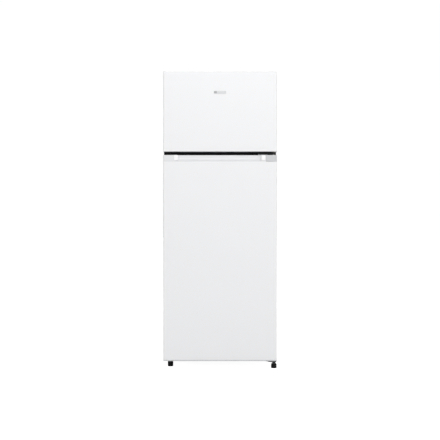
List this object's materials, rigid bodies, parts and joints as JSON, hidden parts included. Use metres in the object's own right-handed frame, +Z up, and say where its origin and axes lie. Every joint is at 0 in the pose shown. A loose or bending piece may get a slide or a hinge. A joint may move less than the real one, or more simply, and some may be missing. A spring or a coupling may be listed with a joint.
{
  "type": "top freezer refrigerator",
  "caption": "White free-standing top freezer refrigerator with right-hinged doors, a grip recess between them, glass shelves, a crisper drawer and a rear condenser.",
  "frame": {"origin": "centre of the bounding box's base, on the floor under the middle of the refrigerator", "axes": "+Z up, doors face -Y, hinges on the +X side"},
  "size_m": [0.55, 0.542, 1.434],
  "materials": {
    "white_steel": "smooth white enamel",
    "white_plastic": "satin white",
    "liner_plastic": "satin white, vacuum formed",
    "grey_plastic": "satin grey",
    "pale_grey_plastic": "satin pale grey",
    "black_plastic": "satin black",
    "seal_rubber": "soft pale grey",
    "foam": "rigid foam",
    "zinc_steel": "galvanised sheet",
    "black_steel": "semi gloss black enamel",
    "copper": "drawn copper tube",
    "aluminium": "rolled sheet",
    "shelf_glass": "clear toughened glass",
    "lamp_glass": "frosted lamp glass",
    "clear_plastic": "clear polystyrene",
    "nylon": "natural nylon"
  },
  "bodies": {
    "cabinet": {"outer_wrap": "white_steel", "back_panel": "zinc_steel", "base_plate": "zinc_steel", "niche_panel": "zinc_steel", "cabinet_foam": "foam", "freezer_liner": "liner_plastic", "fridge_liner": "liner_plastic", "centre_rail": "black_plastic", "evaporator": "aluminium", "top_hinge": "zinc_steel", "top_hinge_cover": "white_plastic", "middle_hinge": "zinc_steel", "bottom_hinge": "black_steel", "compressor_base": "zinc_steel", "compressor": "black_steel", "terminal_box": "black_plastic", "evaporation_tray": "black_plastic", "condenser_coil": "black_steel", "discharge_pipe": "copper", "suction_pipe": "copper", "filter_drier": "copper", "control_housing": "white_plastic", "lamp_lens": "clear_plastic", "lamp": "lamp_glass", "glass_shelf_1": "shelf_glass", "glass_shelf_2": "shelf_glass", "glass_shelf_3": "shelf_glass", "crisper_cover": "shelf_glass", "freezer_shelf": "shelf_glass", "ice_tray": "white_plastic"},
    "left_foot": {"left_front_foot": "black_plastic"},
    "right_foot": {"right_front_foot": "black_plastic"},
    "left_wheel": {"left_roller": "black_plastic"},
    "right_wheel": {"right_roller": "black_plastic"},
    "knob": {"thermostat_knob": "white_plastic"},
    "plunger": {"door_switch_plunger": "white_plastic"},
    "drawer": {"crisper_drawer": "clear_plastic"},
    "freezer_door": {"freezer_door_skin": "white_steel", "freezer_door_foam": "foam", "freezer_door_liner": "liner_plastic", "freezer_door_top_cap": "white_plastic", "freezer_door_bottom_cap": "grey_plastic", "freezer_door_gasket": "seal_rubber", "freezer_door_lower_balcony": "clear_plastic", "freezer_door_upper_balcony": "clear_plastic", "freezer_door_top_bush": "nylon", "freezer_door_bottom_bush": "nylon", "badge": "grey_plastic"},
    "fridge_door": {"fridge_door_skin": "white_steel", "fridge_door_foam": "foam", "fridge_door_liner": "liner_plastic", "fridge_door_top_cap": "pale_grey_plastic", "fridge_door_bottom_cap": "grey_plastic", "fridge_door_gasket": "seal_rubber", "fridge_door_bottle_rack": "clear_plastic", "fridge_door_middle_balcony": "clear_plastic", "fridge_door_upper_balcony": "clear_plastic", "fridge_door_top_bush": "nylon", "fridge_door_bottom_bush": "nylon", "hinge_side_cover": "grey_plastic"}
  },
  "joints": [
    {"name": "freezer_door_hinge", "type": "hinge", "parent": "cabinet", "child": "freezer_door", "pos_m": [0.258, -0.2474, 1.241], "axis": [0, 0, 1], "range_deg": [0, 120]},
    {"name": "fridge_door_hinge", "type": "hinge", "parent": "cabinet", "child": "fridge_door", "pos_m": [0.258, -0.2474, 0.5335], "axis": [0, 0, 1], "range_deg": [0, 120]},
    {"name": "crisper_slide", "type": "slide", "parent": "cabinet", "child": "drawer", "axis": [0, -1, 0], "range_m": [0, 0.2095]},
    {"name": "thermostat_turn", "type": "hinge", "parent": "cabinet", "child": "knob", "pos_m": [0.055, -0.205, 0.9762], "axis": [0, 1, 0], "range_deg": [0, 270]},
    {"name": "door_switch_press", "type": "slide", "parent": "cabinet", "child": "plunger", "axis": [0, 1, 0], "range_m": [0, 0.005], "stiffness_N_per_m": 300, "springref_m": -0.003},
    {"name": "left_foot_turn", "type": "hinge", "parent": "cabinet", "child": "left_foot", "pos_m": [-0.243, -0.1984, 0.01], "axis": [0, 0, 1], "continuous": true},
    {"name": "right_foot_turn", "type": "hinge", "parent": "cabinet", "child": "right_foot", "pos_m": [0.2609, -0.2529, 0.01], "axis": [0, 0, 1], "continuous": true},
    {"name": "left_roller_spin", "type": "hinge", "parent": "cabinet", "child": "left_wheel", "pos_m": [-0.233, 0.213, 0.01493], "axis": [1, 0, 0], "continuous": true},
    {"name": "right_roller_spin", "type": "hinge", "parent": "cabinet", "child": "right_wheel", "pos_m": [0.233, 0.213, 0.01493], "axis": [1, 0, 0], "continuous": true}
  ],
  "couplings": [
    {"joint": "crisper_slide", "follows": "fridge_door_hinge", "m_per_rad": 0.1}
  ]
}
